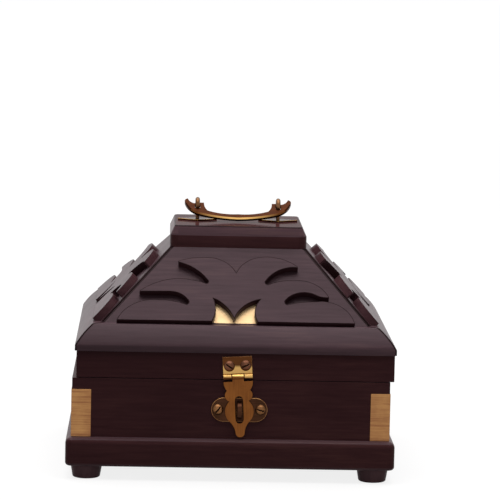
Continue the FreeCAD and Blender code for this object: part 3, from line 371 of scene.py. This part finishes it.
@dataclass(frozen=True)
class Finishes:
    """Every finish on the casket, made once."""

    upright_across: Material
    upright_deep: Material
    slope_across: Material
    slope_deep: Material
    polished: Material
    rubbed: Material
    rounding: Material
    edge: Material
    stain: Material
    foot: Material
    plate: Material
    inlay: Material
    hasp: Material
    strap: Material
    leaf: Material
    backing: Material
    staple: Material
    leaf_screw: Material
    staple_screw: Material
    gap: Material
    bright: Material
    antique: Material
    bevel: Material
    eye: Material
    steel: Material

    @classmethod
    def make(cls) -> "Finishes":
        """Builds the materials.

        Returns:
            The set of finishes.
        """
        # Lacquer is painted greyer on the slopes and paler on the cap's bevel as a painted sheen, and paler
        # on roundings as a painted highlight.
        slope_sheen = {"deep": "#3F2D32", "middle": "#4D383E", "light": "#5E4648", "index": 1.18}
        bevel_sheen_colours = {"deep": "#4C373B", "middle": "#5B4248", "light": "#684E4B", "index": 1.18}
        rounding_highlight_colours = {"deep": "#493338", "middle": "#574044", "light": "#654B4C", "index": 1.12}
        # Brass is painted bright as a highlight on the strap's knuckle, the leaf's foot and the bail's
        # middle, and painted dark as shade behind the hasp's slot.
        knuckle_highlight = Band("Z", (51.0, 51.5, 54.0, 55.0), "#CDA862")
        leaf_foot_reflection = Band("Z", (50.5, 51.0, 55.2, 56.4), "#B48E54")
        shade_behind_slot = Band("X", (1.2, 2.0, 6.0, 6.8), "#2A1810")
        scored = {"relief": 0.3, "score_mm": 1.3}
        soft = {"roughness": (0.4, 0.5)}
        bail_middle_highlight = Band("X", (-17.0, -1.0, 7.2, 23.2), "#D2A664")
        return cls(
            upright_across=Lacquer("lacquer_upright_across", Run.ACROSS).build(),
            upright_deep=Lacquer("lacquer_upright_deep", Run.DEEP).build(),
            slope_across=Lacquer("lacquer_slope_across", Run.ACROSS, **slope_sheen).build(),
            slope_deep=Lacquer("lacquer_slope_deep", Run.DEEP, **slope_sheen).build(),
            polished=Lacquer("lacquer_polished", Run.ACROSS, roughness=(0.08, 0.16), index=1.02).build(),
            rubbed=Lacquer("lacquer_rubbed_bevel", Run.ACROSS, **bevel_sheen_colours).build(),
            rounding=Lacquer("lacquer_rounding_painted_highlight", Run.ACROSS, **rounding_highlight_colours).build(),
            edge=Lacquer("lacquer_sawn_edge", Run.ACROSS, "#3A2327", "#462D31", "#523738").build(),
            # Dark lacquer: stain in the mitres, and painted shade along the cap's top edge.
            stain=Lacquer("stain_along_edge", Run.ACROSS, "#1E1113", "#281719", "#321F20").build(),
            foot=Lacquer("lacquer_turned_foot", Run.UPRIGHT, "#5C4448", "#6B5054", "#785A5A").build(),
            plate=Brass("brushed_brass_plate", Run.ACROSS, "#A0764A", "#805638", **scored).build(),
            inlay=Brass("polished_brass_sheet", Run.ACROSS, "#BEA37E", "#AF926A", **soft).build(),
            hasp=Brass("toned_brass", Run.UPRIGHT, "#7C4C24", "#5E361A").build(),
            strap=Brass("toned_brass_strap_painted_highlight", Run.UPRIGHT, "#764822", "#583218", band=knuckle_highlight).build(),
            leaf=Brass("rubbed_brass_leaf", Run.ACROSS, "#523018", "#422614", band=leaf_foot_reflection).build(),
            backing=Brass("dark_brass_plate_painted_shade", Run.ACROSS, "#40271A", "#2C1B11", band=shade_behind_slot).build(),
            # The staple is painted dark, as shade inside the hasp's slot.
            staple=Brass("dark_brass_staple", Run.UPRIGHT, "#3C2418", "#2A1810").build(),
            leaf_screw=Brass("brown_brass_screw", Run.ACROSS, "#684432", "#4A2E22").build(),
            staple_screw=Brass("yellow_brass_screw", Run.ACROSS, "#825A3A", "#5E4028").build(),
            gap=Brass("painted_shade_in_slot", Run.ACROSS, "#24140C", "#1A0E08", roughness=(0.6, 0.7)).build(),
            # Bright brass for eased edges, a painted highlight.
            bright=Brass("brass_painted_highlight", Run.ACROSS, "#C89A52", "#A87838").build(),
            antique=Brass("toned_antique_brass", Run.ACROSS, "#3A1B08", "#261005").build(),
            bevel=Brass("brass_bevel_painted_highlight", Run.ACROSS, "#6A4020", "#4C2C14", band=bail_middle_highlight).build(),
            eye=Brass("toned_brass_wire", Run.UPRIGHT, "#74543A", "#4C321E").build(),
            steel=Brass("zinc_plated_steel", Run.ACROSS, "#B9BCC0", "#8C9096").build(),
        )

    def upright(self, side: str) -> Material:
        """The lacquer of an upright board, its grain along that side of the box."""
        return self.upright_across if side in ("front", "rear") else self.upright_deep

    def slope(self, side: str) -> Material:
        """The lacquer of a sloping board, its grain along that side of the box."""
        return self.slope_across if side in ("front", "rear") else self.slope_deep


def shade(mesh: bpy.types.Mesh, sharp_degrees: float = 40.0) -> None:
    """Shades a mesh smooth, except over sharp edges.

    Args:
        mesh: the mesh to shade.
        sharp_degrees: the angle between faces above which an edge stays sharp.
    """
    mesh.polygons.foreach_set("use_smooth", [True] * len(mesh.polygons))
    mesh.set_sharp_from_angle(angle=math.radians(sharp_degrees))


def finish_piece(shape: BMesh, node: str, body: Body, finishes: Sequence[Material]) -> None:
    """Turns a bmesh into a dressed piece that rides on a body and stands for a CAD node.

    Args:
        shape: the bmesh, which is freed.
        node: the CAD node that the piece stands for.
        body: the body it rides on.
        finishes: its materials, in the order of the faces' material numbers.
    """
    mesh = bpy.data.meshes.new(f"{node}_piece")
    shape.to_mesh(mesh)
    shape.free()
    shade(mesh)
    for finish in finishes:
        mesh.materials.append(finish)
    piece = bpy.data.objects.new(mesh.name, mesh)
    bpy.context.scene.collection.objects.link(piece)
    level = piece.modifiers.new("flat_faces_stay_flat", "WEIGHTED_NORMAL")
    level.keep_sharp = True
    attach(piece, body.value)
    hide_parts(node)
    LOG.info("%s: %d faces on %s", piece.name, len(mesh.polygons), body.value)


def merged_copy(node: str) -> BMesh:
    """A CAD node's solid with its triangles joined and its flat faces made whole.

    Args:
        node: the node's name.

    Returns:
        A new bmesh.
    """
    shape = bmesh.new()
    shape.from_mesh(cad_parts[node].data)
    bmesh.ops.remove_doubles(shape, verts=shape.verts, dist=JOIN_MM * MM)
    flat = math.radians(FLAT_DEGREES)
    bmesh.ops.dissolve_limit(shape, angle_limit=flat, verts=shape.verts, edges=shape.edges)
    return shape


def sharp_edges(shape: BMesh, degrees: float = 32.0) -> list[BMEdge]:
    """The outer edges of a solid that turn more than an angle.

    Args:
        shape: the solid's bmesh.
        degrees: the least turn.

    Returns:
        Those edges.
    """
    limit = math.radians(degrees)
    return [edge for edge in shape.edges if edge.is_manifold and edge.calc_face_angle_signed() > limit]


def mitre_edges(shape: BMesh) -> list[BMEdge]:
    """The sharp edges that run round the mitred ends of a board.

    Args:
        shape: the board's bmesh.

    Returns:
        Those edges.
    """
    return [edge for edge in sharp_edges(shape) if any(is_mitre(face) for face in edge.link_faces)]


def is_mitre(face: BMFace) -> bool:
    """Whether a face stands upright and cuts across a corner."""
    across, deep, up = (abs(number) for number in face.normal)
    return up < UPRIGHT_LIMIT and min(across, deep) > CORNER_LIMIT


def soften(shape: BMesh, edges: Sequence[BMEdge], width_mm: float) -> list[BMFace]:
    """Rounds edges of a solid.

    Args:
        shape: the bmesh to round.
        edges: the edges to round.
        width_mm: how far the rounding reaches from an edge.

    Returns:
        The faces of the roundings.
    """
    made = bmesh.ops.bevel(
        shape,
        geom=list(edges),
        offset=width_mm * MM,
        offset_type="OFFSET",
        segments=ROUNDING_STEPS,
        profile=0.5,
        affect="EDGES",
        clamp_overlap=True,
        material=-1,
    )
    shape.normal_update()
    return made["faces"]


def paint(faces: Sequence[BMFace], number: int) -> None:
    """Gives faces one of their piece's materials by its number."""
    for face in faces:
        face.material_index = number


def soft_node(
    node: str,
    body: Body,
    finish: Material,
    width_mm: float,
    rim: Material | None = None,
) -> None:
    """A CAD node with its edges eased, as hand tools and lacquer leave them.

    Args:
        node: the node's name.
        body: the body it rides on.
        finish: its material.
        width_mm: the width of the easing.
        rim: a second material for the easing, if it differs.
    """
    shape = merged_copy(node)
    paint(soften(shape, sharp_edges(shape), width_mm), 1 if rim else 0)
    finish_piece(shape, node, body, [finish, rim] if rim else [finish])


def dress_node(node: str, finish: Material) -> None:
    """Gives a CAD node that stays as it is a better material.

    Args:
        node: the node's name.
        finish: the material.
    """
    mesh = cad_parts[node].data
    mesh.materials.clear()
    mesh.materials.append(finish)
    LOG.info("%s: dressed as %s", node, finish.name)


@dataclass
class Carcass:
    """The box: base board, feet and four walls."""

    finishes: Finishes
    easing_mm: float = 0.6
    ledge_slope: float = 0.6
    under_slope: float = -0.2

    def build(self) -> None:
        """Builds and dresses the box's woodwork and its screws."""
        self.build_base()
        for corner in CORNERS:
            dress_node(f"foot_{corner}", self.finishes.foot)
        for side in SIDES:
            finish = self.finishes.upright(side)
            # The walls' eased edges are painted paler, a painted highlight.
            soft_node(f"{side}_wall", Body.BOX, finish, self.easing_mm, self.finishes.rounding)
        for screws in ("foot_screws", "wall_screws"):
            dress_node(screws, self.finishes.steel)

    def build_base(self) -> None:
        """Builds the base board, painted paler on its ledge and under its lower rounding as painted light.
        """
        shape = merged_copy("base_board")
        shape.normal_update()
        paint([face for face in shape.faces if not self.under_slope < face.normal.z < self.ledge_slope], 1)
        finishes = [self.finishes.upright_across, self.finishes.rounding]
        finish_piece(shape, "base_board", Body.BOX, finishes)


@dataclass
class CornerPlates:
    """The brass angles on the lower corners."""

    finishes: Finishes
    easing_mm: float = 0.18

    def build(self) -> None:
        """Builds and dresses the four plates."""
        for corner in CORNERS:
            node = f"corner_plate_{corner}"
            soft_node(node, Body.BOX, self.finishes.plate, self.easing_mm)


@dataclass
class Hinges:
    """Two brass butt hinges let into the rear wall and rail."""

    finishes: Finishes

    def build(self) -> None:
        """Dresses the leaves, pins and screws."""
        for hand in HANDS:
            for node in ("box_leaf", "lid_leaf", "pin"):
                dress_node(f"hinge_{hand}_{node}", self.finishes.hasp)
        for screws in ("box_hinge_screws", "lid_hinge_screws"):
            dress_node(screws, self.finishes.steel)


@dataclass
class LidShell:
    """The lid's rails, cornice, roof slopes and cap."""

    finishes: Finishes
    rail_easing_mm: float = 0.2
    cornice_easing_mm: float = 0.3
    cornice_mitre_mm: float = 0.8
    hip_mm: float = 1.5
    cap_slopes: tuple[float, float, float] = (0.985, 0.45, 0.2)

    def build(self) -> None:
        """Builds and dresses the lid's woodwork."""
        for side in SIDES:
            upright = self.finishes.upright(side)
            soft_node(f"lid_{side}_rail", Body.LID, upright, self.rail_easing_mm)
            self.build_mitred(f"cornice_{side}", side, self.cornice_mitre_mm, self.cornice_easing_mm)
            self.build_mitred(f"roof_{side}", side, self.hip_mm)
        self.build_cap()

    def build_mitred(self, node: str, side: str, mitre_mm: float, easing_mm: float = 0.0) -> None:
        """Builds a mitred board; stain gathers dark along its mitres.

        Args:
            node: the board's node.
            side: the side of the lid that it lies on.
            mitre_mm: the width of the easing along the mitres.
            easing_mm: the width of the easing along the other edges, if they are eased.
        """
        shape = merged_copy(node)
        paint(soften(shape, mitre_edges(shape), mitre_mm), 1)
        if easing_mm:
            soften(shape, sharp_edges(shape), easing_mm)
        finish_piece(shape, node, Body.LID, [self.finishes.slope(side), self.finishes.stain])

    def build_cap(self) -> None:
        """Builds the cap, polished on top, with painted shade along the top's edge and a painted sheen
        making its bevel paler.
        """
        shape = merged_copy("cap_block")
        shape.normal_update()
        for number, highest in enumerate(self.cap_slopes, start=1):
            paint([face for face in shape.faces if face.normal.z < highest], number)
        # The rounding between the top and the bevel takes painted shade.
        top, rim, bevel = self.finishes.polished, self.finishes.stain, self.finishes.rubbed
        finish_piece(shape, "cap_block", Body.LID, [top, rim, bevel, self.finishes.upright_across])


@dataclass
class Fretwork:
    """The sawn leaves on each slope and the brass sheet that shows between them."""

    finishes: Finishes
    edge_mm: float = 0.3
    stain_mm: float = 0.2
    flank_slope: float = 0.5

    def build(self) -> None:
        """Builds and dresses the leaves and the brass."""
        for side in SIDES:
            self.build_leaves(side)
            dress_node(f"brass_inlay_{side}", self.finishes.inlay)

    def build_leaves(self, side: str) -> None:
        """Builds the leaves of one slope, dark along their edges and a little way in.

        Args:
            side: the side of the lid that they lie on.
        """
        node = f"leaf_overlay_{side}"
        shape = merged_copy(node)
        rounding = soften(shape, sharp_edges(shape), self.edge_mm)
        top = max(shape.faces, key=lambda face: face.calc_area() * (face.normal.z > 0))
        paint([face for face in shape.faces if abs(face.normal.dot(top.normal)) < self.flank_slope], 1)
        inward = self.stain_mm * MM
        rim = bmesh.ops.inset_region(shape, faces=[top], thickness=inward, use_even_offset=False)
        paint([*rounding, *rim["faces"]], 2)
        finishes = [self.finishes.slope(side), self.finishes.edge, self.finishes.stain]
        finish_piece(shape, node, Body.LID, finishes)


@dataclass
class Handle:
    """The drop handle: a crescent bail in two eyes on lozenge plates."""

    finishes: Finishes
    bail_easing_mm: float = 0.25
    plate_easing_mm: float = 0.2
    bevel_faces: tuple[float, float, float] = (0.0, -0.990, 0.139)
    bevel_nearness: float = 0.85

    def build(self) -> None:
        """Builds and dresses the handle."""
        self.build_bail()
        antique, bright = self.finishes.antique, self.finishes.bright
        for hand in HANDS:
            dress_node(f"handle_eye_{hand}", self.finishes.eye)
            plate = f"handle_plate_{hand}"
            # The plates' eased edges are painted bright, a painted highlight.
            soft_node(plate, Body.LID, antique, self.plate_easing_mm, bright)

    def build_bail(self) -> None:
        """Builds the bail, toned all over, with a painted highlight on the faces of its bevel."""
        shape = merged_copy("handle_bail")
        shape.normal_update()
        towards = Vector(self.bevel_faces)
        paint([face for face in shape.faces if face.normal.dot(towards) > self.bevel_nearness], 1)
        soften(shape, sharp_edges(shape), self.bail_easing_mm)
        finishes = [self.finishes.antique, self.finishes.bevel]
        finish_piece(shape, "handle_bail", Body.HANDLE, finishes)


@dataclass
class Hasp:
    """The hasp on the lid and the staple on the box."""

    finishes: Finishes
    easing_mm: float = 0.25
    slot_floor_mm2: float = 1.0
    facing: float = 0.999

    def build(self) -> None:
        """Builds and dresses the hasp, the staple and their screws."""
        finishes = self.finishes
        # The eased edges of the hasp's leaf and of the staple plate take the paler plate brass, a painted
        # highlight.
        soft_node("hasp_leaf", Body.LID, finishes.leaf, self.easing_mm, finishes.plate)
        soft_node("hasp_strap", Body.HASP, finishes.strap, self.easing_mm)
        soft_node("staple_plate", Body.BOX, finishes.backing, self.easing_mm, finishes.plate)
        soft_node("staple", Body.BOX, finishes.staple, self.easing_mm)
        dress_node("hasp_pin", finishes.staple)
        self.build_screws("hasp_leaf_screws", Body.LID, finishes.leaf_screw)
        self.build_screws("staple_screws", Body.BOX, finishes.staple_screw)

    def build_screws(self, node: str, body: Body, finish: Material) -> None:
        """Builds a group of round-headed screws with painted shade in their slots.

        Args:
            node: the group's node.
            body: the body it rides on.
            finish: the material of the heads.
        """
        shape = merged_copy(node)
        shape.normal_update()
        least = self.slot_floor_mm2 * MM * MM
        forward = [face for face in shape.faces if face.normal.y < -self.facing]
        for floor in [face for face in forward if face.calc_area() > least]:
            paint([face for edge in floor.edges for face in edge.link_faces], 1)
        finish_piece(shape, node, body, [finish, self.finishes.gap])


@dataclass(frozen=True)
class Lamp:
    """A large square soft light that faces the box."""

    name: str
    size: float
    watts: float
    at: tuple[float, float, float]

    def hang(self) -> None:
        """Adds the lamp to the scene."""
        data = bpy.data.lights.new(self.name, "AREA")
        data.size = self.size
        data.energy = self.watts
        light = bpy.data.objects.new(self.name, data)
        light.location = self.at
        light.rotation_euler = Vector(self.at).to_track_quat("Z", "Y").to_euler()
        bpy.context.scene.collection.objects.link(light)


@dataclass
class Studio:
    """A white studio: floor, a soft light overhead and one in front, white surround and camera."""

    camera_at_mm: tuple[float, float, float] = (-35.50, -1442.89, 277.07)
    camera_right: tuple[float, float, float] = (0.99935, -0.02865, 0.02176)
    camera_up: tuple[float, float, float] = (-0.01817, 0.12003, 0.99260)
    lens_mm: float = 209.2
    sensor_mm: float = 36.0
    clip_end: float = 200.0
    floor_size: float = 60.0
    floor_colour: str = "#7C7B7B"
    floor_roughness: float = 0.9
    floor_glow: tuple[float, float] = (0.83, 0.99)
    floor_glow_reach: float = 2.2
    ambient: float = 0.08
    overhead: Lamp = Lamp("overhead", 1.6, 24.0, (0.0, 0.05, 1.25))
    fill: Lamp = Lamp("fill", 2.0, 6.5, (0.0, -2.4, 0.6))

    def build(self) -> None:
        """Builds the studio."""
        self.set_camera()
        self.set_floor()
        self.set_world()
        self.overhead.hang()
        self.fill.hang()
        bpy.context.scene.view_settings.view_transform = "Standard"

    def set_camera(self) -> None:
        """Places the camera at the photograph's viewpoint."""
        data = bpy.data.cameras.new("camera")
        data.lens = self.lens_mm
        data.sensor_width = self.sensor_mm
        data.clip_end = self.clip_end
        right, up = Vector(self.camera_right).normalized(), Vector(self.camera_up).normalized()
        back = right.cross(up)
        turn = Matrix((right, up, back)).transposed().to_4x4()
        camera = bpy.data.objects.new("camera", data)
        camera.matrix_world = Matrix.Translation(Vector(self.camera_at_mm) * MM) @ turn
        bpy.context.scene.collection.objects.link(camera)
        bpy.context.scene.camera = camera

    def set_floor(self) -> None:
        """Lays a wide pale floor that shows white to the eye and keeps the shadow."""
        shape = bmesh.new()
        bmesh.ops.create_grid(shape, x_segments=1, y_segments=1, size=self.floor_size / 2)
        mesh = bpy.data.meshes.new("floor")
        shape.to_mesh(mesh)
        shape.free()
        material, tree, shader = new_material("matt_white_floor")
        shader.inputs["Base Color"].default_value = linear(self.floor_colour)
        shader.inputs["Roughness"].default_value = self.floor_roughness
        shader.inputs["Specular IOR Level"].default_value = 0.0
        shader.inputs["Emission Color"].default_value = linear(WHITE)
        place = add(tree, "ShaderNodeTexCoord")
        away = add(tree, "ShaderNodeVectorMath", {0: place.outputs["Object"]}, operation="LENGTH")
        near, far = self.floor_glow
        level = {"Value": away.outputs["Value"], "To Min": near, "To Max": far}
        level["From Max"] = self.floor_glow_reach
        white = add(tree, "ShaderNodeMapRange", level).outputs["Result"]
        glow = add(tree, "ShaderNodeMath", {0: seen_directly(tree), 1: white}, operation="MULTIPLY")
        tree.links.new(glow.outputs["Value"], shader.inputs["Emission Strength"])
        mesh.materials.append(material)
        floor = bpy.data.objects.new("floor", mesh)
        bpy.context.scene.collection.objects.link(floor)

    def set_world(self) -> None:
        """Surrounds the studio with white, dimmer as a light than as a background."""
        world = bpy.data.worlds.new("studio")
        world.use_nodes = True
        tree = world.node_tree
        tree.nodes.clear()
        strength = spread(tree, seen_directly(tree), self.ambient, 1.0)
        ground = add(tree, "ShaderNodeBackground", {"Color": linear(WHITE), "Strength": strength})
        add(tree, "ShaderNodeOutputWorld", {"Surface": ground.outputs["Background"]})
        bpy.context.scene.world = world


def seen_directly(tree: Tree) -> Socket:
    """1 for what the camera sees, also in a mirror or through glass, and 0 for other light.

    Args:
        tree: the node tree to add to.

    Returns:
        The factor's socket.
    """
    path = add(tree, "ShaderNodeLightPath")
    seen = path.outputs["Is Camera Ray"]
    for ray in ("Is Glossy Ray", "Is Transmission Ray"):
        either = {0: seen, 1: path.outputs[ray]}
        seen = add(tree, "ShaderNodeMath", either, operation="MAXIMUM").outputs["Value"]
    return seen


def main() -> None:
    """Builds every sub-assembly, then the studio."""
    logging.basicConfig(level=logging.INFO, format="%(name)s: %(message)s")
    finishes = Finishes.make()
    for assembly in (Carcass, CornerPlates, Hinges, LidShell, Fretwork, Handle, Hasp):
        assembly(finishes).build()
    Studio().build()


if __name__ == "__main__":
    main()
